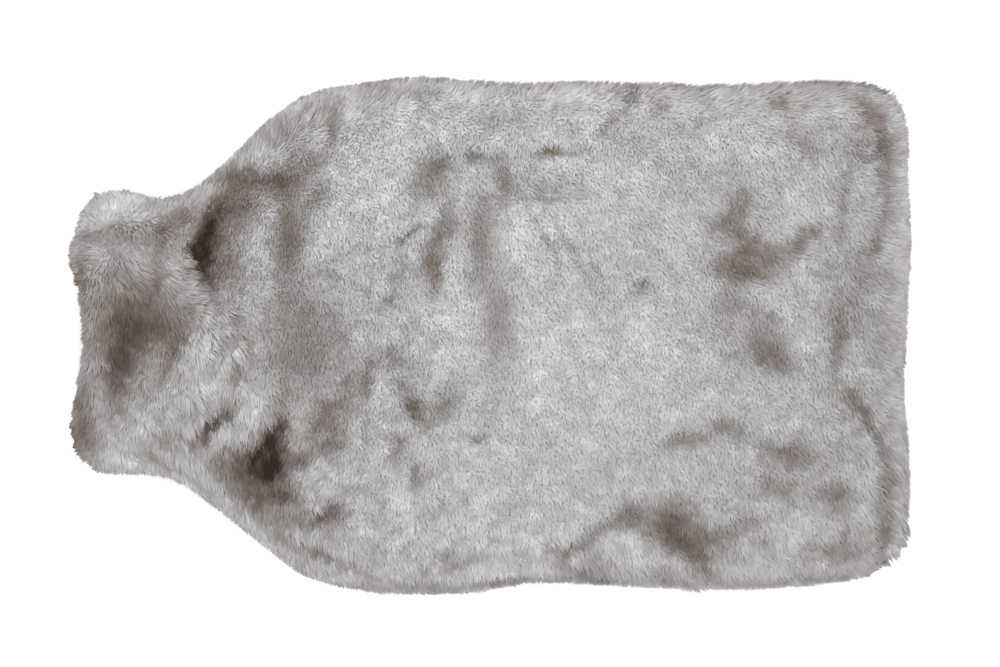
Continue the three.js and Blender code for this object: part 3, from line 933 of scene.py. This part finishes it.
def locks_object(name, locks):
    """One joined piece of locks, with its tone, along and warm attributes and a chart that their colours can
    be baked to.
    """
    corners, tone, warm, outward = locks
    count = len(corners)
    corners[..., 2] = np.maximum(corners[..., 2], FLOOR_CLEARANCE)
    faces = (np.arange(count)[:, None, None] * 4 + LOCK_FACES).reshape(-1)
    mesh = bpy.data.meshes.new(name)
    mesh.vertices.add(count * 4)
    mesh.vertices.foreach_set("co", corners.astype(np.float32).ravel())
    mesh.loops.add(len(faces))
    mesh.loops.foreach_set("vertex_index", faces.astype(np.int32))
    mesh.polygons.add(count * 4)
    mesh.polygons.foreach_set("loop_start", np.arange(0, len(faces), 3, dtype=np.int32))
    mesh.update(calc_edges=True)
    mesh.polygons.foreach_set("use_smooth", np.ones(count * 4, dtype=bool))
    level = np.repeat(np.round(warm * (WARMTHS - 1)), 4)
    tone = np.clip(tone, 0, 1).ravel()
    along = np.tile(LOCK_ALONG, count)
    over = CHART_EDGE + (1 - 2 * CHART_EDGE) * tone
    up = (level + STRIP_EDGE + (1 - 2 * STRIP_EDGE) * along) / WARMTHS
    numbers = {"tone": tone, "along": along, "warm": level / (WARMTHS - 1)}
    give_numbers(mesh, numbers, np.stack([over, up], axis=-1))
    own = np.zeros(count * 12, dtype=np.float32)
    mesh.vertex_normals.foreach_get("vector", own)
    soft = unit((1 - SOFTNESS) * own.reshape(-1, 3) + SOFTNESS * np.repeat(outward, 4, axis=0))
    mesh.normals_split_custom_set_from_vertices(soft)
    return placed(name, mesh)


def finish_piece(piece, material, *nodes):
    """Gives a piece its material and its body, and hides the nodes of the solids that it stands for."""
    piece.data.materials.append(material)
    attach(piece, "root")
    if nodes:
        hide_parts(*nodes)
    return piece


# How fast the pile's fanning out round a panel's rim fades on its broad face.
FAN_FADE = 3
# Lean past the usual with which pile counts as fully combed out, long and flat.
COMBED_LEAN = 4 * MM
# How much lighter or darker a combed lock is at its root, the two sides of its bend and its tip: painted
# shade at the root, down in the long pile, and a painted highlight at the tip.
COMBED_FADE = np.array([-0.25, -0.06, -0.06, 0.08])
# The same for pile that is pressed smooth.
SMOOTH_FADE = np.array([0.12, 0.05, 0.05, -0.03])
# The back panel's pile: its lean, how far in radians that turns and over what distance.
BACK_LEAN = 5 * MM
BACK_TURN = 0.9
BACK_TURN_CELL = 45 * MM
# Dark patches under it: their size, the noise's gain, what is cut off below, and how dark they get.
BACK_SHADE_CELL = 32 * MM
BACK_SHADE_GAIN = 1.6
BACK_SHADE_CUT = 0.6
BACK_SHADE_MOST = 0.6
# How far the rim of the back panel's pile turns up to the light.
BACK_RIM_LIFT = 0.8
# How ruffled the pile is where nothing has ruffled or pressed it.
RUFFLE_LEAST = 0.25
# Share of the way to a tuft's middle that combed tips are drawn besides the gather of all.
COMBED_GATHER = 0.2
# The same towards tufts twice as wide, in ruffled and in combed pile and at the rim.
WIDE_RUFFLED_GATHER = 0.14
WIDE_COMBED_GATHER = 0.25
WIDE_RIM_GATHER = 0.2
# Turn that the locks of a tuft share, against the jitter of each.
TUFT_TURN = 1.6
# The same for a wide tuft in degrees, and how much more it is where the pile is combed.
WIDE_TURN = 30
WIDE_COMBED_TURN = 40
# How much less locks turn where the pile is combed, dark or pressed smooth.
COMBED_CALM = 0.75
DARK_CALM = 0.75
SMOOTH_CALM = 0.5
# Least and most of a lock's lean and width against the usual, and of its height in the pile.
LEAN_RANGE = (0.75, 1.25)
WIDTH_RANGE = (0.7, 1.3)
LIFT_RANGE = (0.86, 1.0)
# How far the heights of tufts and of wide tufts differ, and how much lower dark pile lies.
TUFT_LIFT = 0.08
WIDE_LIFT = 0.10
DARK_DROP = 0.06
# How far the tones of single locks, of tufts and of wide tufts differ.
LOCK_SPECKLE = 0.03
TUFT_SPECKLE = 0.14
WIDE_SPECKLE = 0.10
# Share of that which full darkness, or a place pressed smooth, takes away.
SPECKLE_LOSS = 0.6
# Share of a tuft's gather and of the mottle that full darkness takes away, and that of the combed look.
DARK_LOSS = 0.5
COMBED_DARK_LOSS = 0.7
# Size of the ruffled pile's lighter and darker spots, and how much they change its tone.
MOTTLE = ((2.4 * MM, 0.10), (4.8 * MM, 0.10), (9.5 * MM, 0.09))
# The same for the broad clouds that lie over all of the pile.
CLOUD_CELL = 22 * MM
CLOUD_TONE = 0.05
# How far the warmth of single locks differs.
WARMTH_SPREAD = 0.3
# The underfur's height and breadth as shares of the other locks', and how far it is turned about.
UNDERFUR_LIFT = 0.68
UNDERFUR_WIDTH = 2.0
UNDERFUR_TURN = math.radians(60)


def turned(vectors, angle):
    """Vectors of a plane, each turned by its own angle."""
    cos, sin = np.cos(angle), np.sin(angle)
    x, y = vectors.T
    return np.stack([x * cos - y * sin, x * sin + y * cos], axis=-1)


def gathered(points, outward, share, spacing, seed):
    """The way along the pile from each tip towards its tuft's middle, and the numbers its locks share."""
    middle, shared = nearest_tuft(points, spacing, seed)
    offset = points - middle
    offset = offset - np.sum(offset * outward, axis=1, keepdims=True) * outward
    return -share[:, None] * offset, shared


def front_lay(x, y):
    """Lean, painted shade, painted highlight and ruffle of the front panel's pile at points of it."""
    stroke = stroke_at(x, y)
    dark, light = painted_shade_and_highlight_at(x + stroke[:, 0] / 2, y + stroke[:, 1] / 2)
    return stroke, dark, light, ruffle_at(x, y)


def back_lay(x, y, steep):
    """Lean and random dark patches of the back panel's pile, which nobody has stroked, with no highlight or
    ruffle: steep is 1 where it faces sideways.
    """
    way = BACK_TURN * soft_noise(x, y, BACK_TURN_CELL, BACK_TURN_SEED)
    stroke = BACK_LEAN * np.stack([np.cos(way), np.sin(way)], axis=-1)
    patches = BACK_SHADE_GAIN * soft_noise(x, y, BACK_SHADE_CELL, BACK_SHADE_SEED)
    dark = np.clip(patches - BACK_SHADE_CUT, 0, BACK_SHADE_MOST) * (1 - steep)
    return stroke, dark, 0 * x, 0 * x


def face_locks(panel, row, column, seed):
    """Corners and tones of locks on a panel's pile, stroked, gathered into tufts and shaded."""
    pile = bpy.context.scene.cover_pile
    random = np.random.default_rng(seed)
    count = len(row)
    face = chart_skin(panel, row, column, 0.0)
    outward, *rates = chart_axes(panel, row, column)
    steep = 1 - np.abs(outward[:, 2])
    root = chart_skin(panel, row, column, 1.0)
    fan = (face - root)[:, :2] * ((1 - steep) ** FAN_FADE)[:, None]
    x, y = (face[:, :2] - fan).T
    longer, ragged = rim_at(x, y)
    if panel.up > 0:
        stroke, dark, light, ruffle = front_lay(x, y)
        facing = outward
    else:
        stroke, dark, light, ruffle = back_lay(x, y, steep)
        longer = np.minimum(longer, 0)
        facing = unit(outward + (BACK_RIM_LIFT * steep)[:, None] * (0, 0, 1))
    smooth = np.clip(-ruffle, 0, 1)
    ruffled = RUFFLE_LEAST + (1 - RUFFLE_LEAST) * np.clip(ruffle, 0, 1) - RUFFLE_LEAST * smooth
    combed = np.clip((np.linalg.norm(stroke, axis=1) - pile.lean) / COMBED_LEAN, 0, 1) * (1 - steep)
    combed_look = combed * (1 - COMBED_DARK_LOSS * dark)

    # Tufts, and how locks turn, lean and rise with them.
    drawn = pile.gather * (1 - DARK_LOSS * dark) * (1 + steep) + COMBED_GATHER * combed * (1 - dark)
    pull, tuft = gathered(face, outward, drawn + ragged * steep, pile.tuft_spacing, pile.seed + 1)
    drawn = WIDE_RUFFLED_GATHER * ruffled + WIDE_COMBED_GATHER * combed_look + WIDE_RIM_GATHER * steep
    wide_pull, wide_tuft = gathered(face, outward, drawn, 2 * pile.tuft_spacing, pile.seed + 2)
    pull = pull + wide_pull
    tuft, wide_tuft = tuft - 0.5, wide_tuft - 0.5
    under = random.random(count) < pile.underfur
    turn = pile.jitter * (random.standard_normal(count) + TUFT_TURN * tuft[:, 0])
    turn = turn * (1 - COMBED_CALM * combed) * (1 - DARK_CALM * dark) * (1 - SMOOTH_CALM * smooth)
    turn = turn + np.radians(WIDE_TURN + WIDE_COMBED_TURN * combed * (1 - dark)) * wide_tuft[:, 0]
    turn = turn + under * UNDERFUR_TURN * random.standard_normal(count)
    lean = turned(stroke, turn) * random.uniform(*LEAN_RANGE, count)[:, None]
    lift = random.uniform(*LIFT_RANGE, count) + TUFT_LIFT * tuft[:, 1] + WIDE_LIFT * wide_tuft[:, 1]
    lift = lift * (1 - DARK_DROP * dark) * np.where(under, UNDERFUR_LIFT, 1) + longer * steep
    fan = fan * lift[:, None]
    bend = leaned_skin(panel, row, column, BEND_LEAN * lean - BEND_RISE * fan, rates, 1 - BEND_RISE * lift)
    tip = leaned_skin(panel, row, column, lean - fan, rates, 1 - lift) + pull
    bend = bend + BEND_LEAN * pull
    width = pile.lock_width * random.uniform(*WIDTH_RANGE, count) * np.where(under, UNDERFUR_WIDTH, 1)
    corners = lock_corners(root, bend, tip, outward, width)

    # Tone, darkened by painted shade and lightened by painted highlights, and warmth.
    speckle = LOCK_SPECKLE * (random.random(count) - 0.5)
    speckle = speckle + TUFT_SPECKLE * tuft[:, 2] + WIDE_SPECKLE * wide_tuft[:, 2]
    speckle = speckle * (1 - SPECKLE_LOSS * dark) * (1 - SPECKLE_LOSS * smooth)
    mottle = sum(amount * soft_noise(x, y, cell, MOTTLE_SEED + number)
                 for number, (cell, amount) in enumerate(MOTTLE))
    clouds = CLOUD_TONE * soft_noise(x, y, CLOUD_CELL, CLOUD_SEED)
    # Painted shade of the nap, the creases and the rims lowers the tone, and painted highlights raise it.
    tone = MAIN_TONE - SHADE_TONE * dark + PAINTED_HIGHLIGHT_TONE * light - RIM_SHADE_TONE * steep + clouds
    tone = tone + speckle + ruffled * mottle * (1 - DARK_LOSS * dark)
    fade = combed_look[:, None] * COMBED_FADE + smooth[:, None] * SMOOTH_FADE
    warm = np.clip(RIM_WARMTH * steep + WARMTH_SPREAD * (random.random(count) - 0.5), 0, 1)
    return Locks(corners, tone[:, None] + fade, warm, facing)


# The mouth's locks are rooted up to this far behind the cloth's edge.
MOUTH_ROOT_RUN = 4 * MM
# How far the mouth's pile stays back from the edge of the form, and how much further at its cloth.
MOUTH_INSET = 1.0 * MM
MOUTH_INSET_ROUND = 2.0 * MM
# How far single tips lie back from there, how far tufts stand out, and how much further they do where the
# pile is twice its usual length.
MOUTH_UNEVEN = 1.0 * MM
MOUTH_TUFT = 1.6 * MM
MOUTH_FULL_TUFT = 12 * MM
# Share of the lean beside it that the mouth's pile takes on, and how far its tips stray sideways.
MOUTH_LEAN = 0.35
MOUTH_STRAY = 0.8 * MM
# The way that the mouth's locks face the light, on the front panel and on the back one.
FRONT_MOUTH_FACING = (-0.3, 0.0, 1.0)
BACK_MOUTH_FACING = (-1.0, 0.0, 0.2)
# How much darker the mouth's pile is than the rest, how dark it is on the back panel, and how warm.
MOUTH_TONE = 0.06
BACK_MOUTH_DARKNESS = 0.2
MOUTH_WARMTH = 0.5
# How far the tones of the mouth's single locks and tufts differ.
MOUTH_LOCK_SPECKLE = 0.15
MOUTH_TUFT_SPECKLE = 0.16


def mouth_locks(panel, count, seed):
    """Corners and tones of the locks that stand out of the mouth's edge and round it off."""
    pile = bpy.context.scene.cover_pile
    random = np.random.default_rng(seed)
    across = np.sin(random.uniform(-1, 1, count) * math.pi / 2)
    depth = random.random(count)
    start = np.zeros(count)
    root = panel_skin(panel, start, across, start + 1)
    root[:, 0] += MOUTH_ROOT_RUN * random.random(count)
    face = panel_skin(panel, start, across, depth)
    edge = panel_skin(panel, start, across, start)
    face[:, 0] = edge[:, 0] + MOUTH_INSET + MOUTH_INSET_ROUND * depth**2
    if panel.up > 0:
        facing = FRONT_MOUTH_FACING
        sideways = stroke_at(face[:, 0], face[:, 1])[:, 1]
        # The mouth's pile on the front panel takes the same painted shade as the pile beside it.
        dark = painted_shade_and_highlight_at(face[:, 0], face[:, 1])[0]
    else:
        facing = BACK_MOUTH_FACING
        sideways = 0
        dark = BACK_MOUTH_DARKNESS
    outward = unit(np.tile(facing, (count, 1)))
    longer, ragged = rim_at(face[:, 0], face[:, 1])
    pull, tuft = gathered(face, np.tile([1.0, 0.0, 0.0], (count, 1)), pile.gather + ragged,
                          pile.tuft_spacing, pile.seed + 1)
    tip = face + pull
    tip[:, 0] += MOUTH_UNEVEN * random.random(count) - (MOUTH_TUFT + MOUTH_FULL_TUFT * longer) * tuft[:, 0]
    tip[:, 1] += (1 - across**4) * (MOUTH_LEAN * sideways + MOUTH_STRAY * random.standard_normal(count))
    bend = root + BEND_RISE * (face - root) + BEND_LEAN * (tip - face)
    width = pile.lock_width * random.uniform(*WIDTH_RANGE, count)
    corners = lock_corners(root, bend, tip, outward, width)
    speckle = MOUTH_LOCK_SPECKLE * (random.random(count) - 0.5) + MOUTH_TUFT_SPECKLE * (tuft[:, 2] - 0.5)
    tone = MAIN_TONE - MOUTH_TONE - SHADE_TONE * dark + speckle
    return Locks(corners, np.repeat(tone[:, None], 4, axis=1), start + MOUTH_WARMTH, outward)


# --------------------------------------------------------------------------------------------- materials


def new_group(name, inputs, outputs):
    """An empty shader node group with inputs for numbers and named outputs, and the nodes at its two ends."""
    group = bpy.data.node_groups.new(name, "ShaderNodeTree")
    for label, default in inputs.items():
        socket = group.interface.new_socket(label, in_out="INPUT", socket_type="NodeSocketFloat")
        socket.default_value = default
    for label, kind in outputs.items():
        group.interface.new_socket(label, in_out="OUTPUT", socket_type=kind)
    return group, group.nodes.new("NodeGroupInput"), group.nodes.new("NodeGroupOutput")


def math_node(tree, operation, first, second=0.0, clamp=False):
    """A Math node on two sockets or numbers; returns its output."""
    node = tree.nodes.new("ShaderNodeMath")
    node.operation = operation
    node.use_clamp = clamp
    for socket, value in zip(node.inputs, (first, second)):
        if isinstance(value, (int, float)):
            socket.default_value = value
        else:
            tree.links.new(value, socket)
    return node.outputs[0]


def attribute(tree, name):
    """The number that a mesh holds under that name."""
    node = tree.nodes.new("ShaderNodeAttribute")
    node.attribute_name = name
    return node.outputs["Fac"]


def mixed_colour(tree, factor, first, second, blend="MIX"):
    """Two colours mixed by a factor, or the first multiplied by the second as far as the factor says."""
    node = tree.nodes.new("ShaderNodeMix")
    node.data_type = "RGBA"
    node.blend_type = blend
    tree.links.new(factor, node.inputs["Factor"])
    for socket, value in ((node.inputs["A"], first), (node.inputs["B"], second)):
        if isinstance(value, tuple):
            socket.default_value = value
        else:
            tree.links.new(value, socket)
    return node.outputs["Result"]


def socket_colour(channels, dim=1.0):
    """A colour of three numbers, dimmed if need be, as the four that a socket takes."""
    return (*(dim * channel for channel in channels), 1.0)


def set_inputs(node, values):
    """Sets inputs of a node by their labels."""
    for label, value in values.items():
        node.inputs[label].default_value = value


# How often the fibres' own unevenness repeats over the range of tones, and along a lock.
FIBRES_OVER_TONES = 90.0
FIBRES_ALONG = 2.5
# How fast the shade at a lock's root fades along it.
ROOT_SHADE_FADE = 1.5
# Roughness of the darkest pile, and how much less rough the palest is.
DARK_ROUGHNESS = 0.78
PALE_ROUGHNESS_DROP = 0.22
# Size of the loops that the cloth is knitted of.
LOOP_SIZE = 1.1 * MM
# Widths of a loop against that size along X and Y, and how fast it falls away at its sides.
LOOP_WIDTHS = {"X": 1.0, "Y": 0.7}
LOOP_FALL = 0.6


def fibre_shade_group():
    """Colour and roughness of pile: by tone, darker at the root, with each fibre a little uneven."""
    inputs = {"Tone": MAIN_TONE, "Along": 1.0, "Warmth": 0.0, "Root Shade": 0.10, "Fibre Contrast": 0.10}
    outputs = {"Colour": "NodeSocketColor", "Roughness": "NodeSocketFloat"}
    group, start, end = new_group("fibre_shade", inputs, outputs)
    colours = bpy.context.scene.cover_colours
    below = math_node(group, "SUBTRACT", 1.0, start.outputs["Along"])
    below = math_node(group, "POWER", below, ROOT_SHADE_FADE)
    root = math_node(group, "MULTIPLY", below, start.outputs["Root Shade"])
    place = group.nodes.new("ShaderNodeCombineXYZ")
    for socket, source, rate in (("X", "Tone", FIBRES_OVER_TONES), ("Y", "Along", FIBRES_ALONG)):
        group.links.new(math_node(group, "MULTIPLY", start.outputs[source], rate), place.inputs[socket])
    noise = group.nodes.new("ShaderNodeTexNoise")
    set_inputs(noise, {"Scale": 1.0})
    group.links.new(place.outputs["Vector"], noise.inputs["Vector"])
    uneven = math_node(group, "SUBTRACT", noise.outputs["Fac"], 0.5)
    fibre = math_node(group, "MULTIPLY", uneven, start.outputs["Fibre Contrast"])
    tone = math_node(group, "SUBTRACT", start.outputs["Tone"], root)
    tone = math_node(group, "ADD", tone, fibre, clamp=True)
    ramp = group.nodes.new("ShaderNodeValToRGB")
    stops = ((0.0, colours.deep), (0.25, colours.taupe), (0.45, colours.grey), (0.75, colours.silver),
             (1.0, colours.pale))
    for number, (tone_place, channels) in enumerate(stops):
        if number > 1:
            ramp.color_ramp.elements.new(tone_place)
        element = ramp.color_ramp.elements[number]
        element.position = tone_place
        element.color = socket_colour(channels)
    group.links.new(tone, ramp.inputs["Fac"])
    tinted = mixed_colour(
        group, start.outputs["Warmth"], ramp.outputs["Color"], socket_colour(colours.warm), "MULTIPLY")
    group.links.new(tinted, end.inputs["Colour"])
    drop = math_node(group, "MULTIPLY", tone, PALE_ROUGHNESS_DROP)
    group.links.new(math_node(group, "SUBTRACT", DARK_ROUGHNESS, drop), end.inputs["Roughness"])
    return group


def knit_group():
    """Height of fine knitted rows and a mask of their loops, from a place in metres."""
    group, start, end = new_group(
        "knit_rows", {"Loop Size": LOOP_SIZE}, {"Height": "NodeSocketFloat", "Loop": "NodeSocketFloat"})
    place = group.nodes.new("ShaderNodeTexCoord")
    parts = group.nodes.new("ShaderNodeSeparateXYZ")
    group.links.new(place.outputs["Object"], parts.inputs[0])
    waves = []
    for axis, width in LOOP_WIDTHS.items():
        size = math_node(group, "MULTIPLY", start.outputs["Loop Size"], width / (2 * math.pi))
        wave = math_node(group, "SINE", math_node(group, "DIVIDE", parts.outputs[axis], size))
        waves.append(math_node(group, "ABSOLUTE", wave))
    height = math_node(group, "MULTIPLY", waves[0], waves[1])
    group.links.new(height, end.inputs["Height"])
    group.links.new(math_node(group, "POWER", height, LOOP_FALL), end.inputs["Loop"])
    return group


def new_material(name):
    """A material with a Principled shader, and its tree and shader."""
    material = bpy.data.materials.new(name)
    material.use_nodes = True
    tree = material.node_tree
    return material, tree, tree.nodes["Principled BSDF"]


def placed_group(tree, group, links, values):
    """A node group placed in a material with its own links and values."""
    node = tree.nodes.new("ShaderNodeGroup")
    node.node_tree = group
    for label, source in links.items():
        tree.links.new(source, node.inputs[label])
    set_inputs(node, values)
    return node


def fur_material(group):
    """Silver-grey synthetic fibre, soft at grazing angles."""
    material, tree, shader = new_material("silver_fur")
    names = {"Tone": "tone", "Along": "along", "Warmth": "warm"}
    links = {label: attribute(tree, name) for label, name in names.items()}
    fibre = placed_group(tree, group, links, {"Root Shade": 0.0, "Fibre Contrast": 0.03})
    tree.links.new(fibre.outputs["Colour"], shader.inputs["Base Color"])
    tree.links.new(fibre.outputs["Roughness"], shader.inputs["Roughness"])
    set_inputs(shader, {"Specular IOR Level": 0.05, "Sheen Weight": 0.04, "Sheen Roughness": 0.45})
    return material


def cloth_material(group, knit):
    """Knitted backing cloth: fine loops inside, and the roots of the pile on its outer side."""
    material, tree, shader = new_material("knitted_backing")
    colours = bpy.context.scene.cover_colours
    loops = placed_group(tree, knit, {}, {"Loop Size": LOOP_SIZE})
    roots = placed_group(tree, group, {"Tone": attribute(tree, "tone"), "Along": attribute(tree, "along")},
                         {"Root Shade": 0.06, "Fibre Contrast": 0.0})
    # Painted shade: the cloth is darker between its knitted loops, where their hollows lie in shade.
    between = socket_colour(colours.cloth, dim=0.55)
    knitted = mixed_colour(tree, loops.outputs["Loop"], between, socket_colour(colours.cloth))
    both = mixed_colour(tree, attribute(tree, "outer"), knitted, roots.outputs["Colour"])
    tree.links.new(both, shader.inputs["Base Color"])
    bump = tree.nodes.new("ShaderNodeBump")
    set_inputs(bump, {"Strength": 0.6, "Distance": 0.3 * MM})
    tree.links.new(loops.outputs["Height"], bump.inputs["Height"])
    tree.links.new(bump.outputs["Normal"], shader.inputs["Normal"])
    set_inputs(shader, {"Roughness": 0.9})
    return material


def floor_material():
    """Plain pale floor, very slightly uneven in tone."""
    material, tree, shader = new_material("pale_floor")
    colours = bpy.context.scene.cover_colours
    noise = tree.nodes.new("ShaderNodeTexNoise")
    set_inputs(noise, {"Scale": 3.0})
    dull = socket_colour(colours.floor, dim=0.985)
    shade = mixed_colour(tree, noise.outputs["Fac"], dull, socket_colour(colours.floor))
    tree.links.new(shade, shader.inputs["Base Color"])
    set_inputs(shader, {"Roughness": 0.8, "Specular IOR Level": 0.1})
    return material


def ready(name, make):
    """The material or node group of that name, made when first asked for."""
    for kept in (bpy.data.materials, bpy.data.node_groups):
        if name in kept:
            return kept[name]
    return make()


def silver_fur():
    """The pile's material."""
    return ready("silver_fur", lambda: fur_material(ready("fibre_shade", fibre_shade_group)))


def knitted_backing():
    """The cloth's material."""
    return ready("knitted_backing", lambda: cloth_material(ready("fibre_shade", fibre_shade_group),
                                                           ready("knit_rows", knit_group)))


# -------------------------------------------------------------------------------------------------- cloth

# Rows of faces in a panel's cloth from the mouth to the closed end, and columns across it.
CLOTH_ROWS = 96
CLOTH_COLUMNS = 64
# Depth in the pile, as a share, that the dense felt at the roots on a cloth's outer side reaches up to.
FELT_DEPTH = 0.45
# The cloth's outer side has the left half of its chart and the inner side the right one, each with some
# room at its sides.
SIDE_CHART_WIDTH = 0.48
SIDE_CHART_STARTS = (0.01, 0.51)


def cloth_object(panel):
    """One panel's cloth: a thin closed shell, with the felted roots of its pile on the outer side."""
    pile = bpy.context.scene.cover_pile
    row, column = chart_grid(CLOTH_ROWS, CLOTH_COLUMNS)
    inside = 1 + pile.cloth_thickness / pile.face_depth
    skins = [chart_skin(panel, row, column, depth) for depth in (FELT_DEPTH, inside)]
    points = np.concatenate([skin.reshape(-1, 3) for skin in skins])
    across = CLOTH_COLUMNS + 1
    size = (CLOTH_ROWS + 1) * across
    index = np.arange(size).reshape(CLOTH_ROWS + 1, across)
    quads = np.stack([index[:-1, :-1], index[1:, :-1], index[1:, 1:], index[:-1, 1:]], axis=-1).reshape(-1, 4)
    border = np.concatenate([index[:-1, 0], index[-1, :-1], index[:0:-1, -1], index[0, :0:-1]])
    following = np.roll(border, -1)
    edge = np.stack([following, border, border + size, following + size], axis=-1)
    faces = np.concatenate([quads, quads[:, ::-1] + size, edge])
    if panel.up < 0:
        faces = faces[:, ::-1]
    mesh = bpy.data.meshes.new(panel.cloth_name)
    mesh.from_pydata(points.tolist(), [], faces.tolist())
    mesh.polygons.foreach_set("use_smooth", np.ones(len(faces), dtype=bool))
    outer = np.repeat([1.0, 0.0], size)
    x, y = points[:, 0], points[:, 1]
    # The felt on the front panel's cloth takes the same painted shade as the pile over it.
    dark = painted_shade_and_highlight_at(x, y)[0] if panel.up > 0 else 0 * x
    tone = MAIN_TONE - SHADE_TONE * dark
    over, up = SIDE_CHART_WIDTH * row.ravel(), (column.ravel() + 1) / 2
    chart = np.concatenate([np.stack([start + over, up], axis=-1) for start in SIDE_CHART_STARTS])
    give_numbers(mesh, {"outer": outer, "tone": tone, "along": 0 * tone}, chart)
    return placed(panel.cloth_name, mesh)


# ---------------------------------------------------------------------------------------------- operators

# The front panel's pile is built in pieces, each from one x to the next.
FRONT_PARTS = (
    ("neck_pile", -200, -100),
    ("upper_body_pile", -100, 0),
    ("middle_body_pile", 0, 92),
    ("lower_body_pile", 92, 200),
)


# Locks on the back panel stand this much closer above a height than under the cover.
UNDER_HEIGHT = 2 * MM
SIDE_WEIGHT = 1.6
UNDER_WEIGHT = 0.6


def even_weight(points):
    """The same density of locks all over."""
    return np.ones(points.shape[:-1])


def side_weight(points):
    """Locks closer together where they show, up the sides, than under the cover."""
    return np.where(points[..., 2] > UNDER_HEIGHT, SIDE_WEIGHT, UNDER_WEIGHT)


class COVER_OT_stage(bpy.types.Operator):
    """Lay the floor and set up the light and the camera"""

    bl_idname = "cover.stage"
    bl_label = "Stage"

    def execute(self, context):
        scene = context.scene
        stage = scene.cover_stage
        half = stage.floor_side / 2
        mesh = bpy.data.meshes.new("floor")
        mesh.from_pydata([(-half, -half, 0), (half, -half, 0), (half, half, 0), (-half, half, 0)], [],
                         [(0, 1, 2, 3)])
        mesh.materials.append(floor_material())
        placed("floor", mesh)
        world = bpy.data.worlds.new("studio")
        world.use_nodes = True
        background = world.node_tree.nodes["Background"]
        set_inputs(background, {"Strength": stage.dome, "Color": socket_colour((1.0, 1.0, 1.0))})
        scene.world = world
        lamp = bpy.data.lights.new("key", "AREA")
        lamp.size = stage.key_side
        lamp.energy = stage.key
        key = placed("key", lamp)
        key.location = stage.key_place
        key.rotation_euler = (-key.location).to_track_quat("-Z", "Y").to_euler()
        view = bpy.data.cameras.new("camera")
        view.lens = stage.lens
        view.sensor_width = 36.0
        scene.camera = placed("camera", view)
        scene.camera.location = stage.camera_place
        scene.view_settings.view_transform = "Standard"
        return {"FINISHED"}


class COVER_OT_front_pile(bpy.types.Operator):
    """Build the front panel's pile, in pieces from the neck to the closed end"""

    bl_idname = "cover.front_pile"
    bl_label = "Front Pile"

    def execute(self, context):
        pile = context.scene.cover_pile
        row, column = spread_places(FRONT, pile.front_locks, even_weight, pile.seed)
        locks = face_locks(FRONT, row, column, pile.seed + 3)
        x = locks.corners[:, 0, 0]
        for name, low, high in FRONT_PARTS:
            part = (x >= low * MM) & (x < high * MM)
            finish_piece(locks_object(name, Locks(*(numbers[part] for numbers in locks))), silver_fur())
        return {"FINISHED"}


class COVER_OT_back_pile(bpy.types.Operator):
    """Build the back panel's pile, which the cover lies on"""

    bl_idname = "cover.back_pile"
    bl_label = "Back Pile"

    def execute(self, context):
        pile = context.scene.cover_pile
        row, column = spread_places(BACK, pile.back_locks, side_weight, pile.seed + 4)
        locks = face_locks(BACK, row, column, pile.seed + 5)
        finish_piece(locks_object("back_pile", locks), silver_fur())
        return {"FINISHED"}


class COVER_OT_mouth_pile(bpy.types.Operator):
    """Build the pile that rounds off the edge of the open mouth, on both panels"""

    bl_idname = "cover.mouth_pile"
    bl_label = "Mouth Pile"

    def execute(self, context):
        pile = context.scene.cover_pile
        for panel, name in ((FRONT, "front_mouth_pile"), (BACK, "back_mouth_pile")):
            locks = mouth_locks(panel, pile.mouth_locks, pile.seed + 6 + panel.up)
            finish_piece(locks_object(name, locks), silver_fur())
        return {"FINISHED"}


class COVER_OT_cloth(bpy.types.Operator):
    """Build the two panels' cloth under the pile"""

    bl_idname = "cover.cloth"
    bl_label = "Cloth"

    def execute(self, context):
        grown = {
            FRONT: [part[0] for part in FRONT_PARTS] + ["front_mouth_pile"],
            BACK: ["back_pile", "back_mouth_pile"],
        }
        for panel, pile_names in grown.items():
            piece = finish_piece(cloth_object(panel), knitted_backing(), panel.node)
        return {"FINISHED"}


class COVER_PT_panel(bpy.types.Panel):
    """The settings of the cover and the buttons that build it"""

    bl_label = "Fur Cover"
    bl_idname = "COVER_PT_panel"
    bl_space_type = "VIEW_3D"
    bl_region_type = "UI"
    bl_category = "Fur Cover"

    def draw(self, context):
        for settings in (context.scene.cover_pile, context.scene.cover_colours, context.scene.cover_stage):
            box = self.layout.box()
            for name in settings.bl_rna.properties.keys():
                if name not in ("rna_type", "name"):
                    box.prop(settings, name)
        for operator in OPERATORS:
            self.layout.operator(operator.bl_idname)


SETTINGS = {
    "cover_pile": PileSettings,
    "cover_colours": ColourSettings,
    "cover_stage": StageSettings,
}
OPERATORS = (COVER_OT_stage, COVER_OT_front_pile, COVER_OT_back_pile, COVER_OT_mouth_pile, COVER_OT_cloth)


def register():
    """Adds the settings, the operators and the panel."""
    for name, group in SETTINGS.items():
        bpy.utils.register_class(group)
        setattr(bpy.types.Scene, name, PointerProperty(type=group))
    for operator in OPERATORS:
        bpy.utils.register_class(operator)
    bpy.utils.register_class(COVER_PT_panel)


def unregister():
    """Takes them away again."""
    bpy.utils.unregister_class(COVER_PT_panel)
    for operator in reversed(OPERATORS):
        bpy.utils.unregister_class(operator)
    for name, group in SETTINGS.items():
        delattr(bpy.types.Scene, name)
        bpy.utils.unregister_class(group)


def main():
    """Builds the cover on its stage."""
    register()
    bpy.ops.cover.stage()
    bpy.ops.cover.front_pile()
    bpy.ops.cover.back_pile()
    bpy.ops.cover.mouth_pile()
    bpy.ops.cover.cloth()


if __name__ == "__main__":
    main()
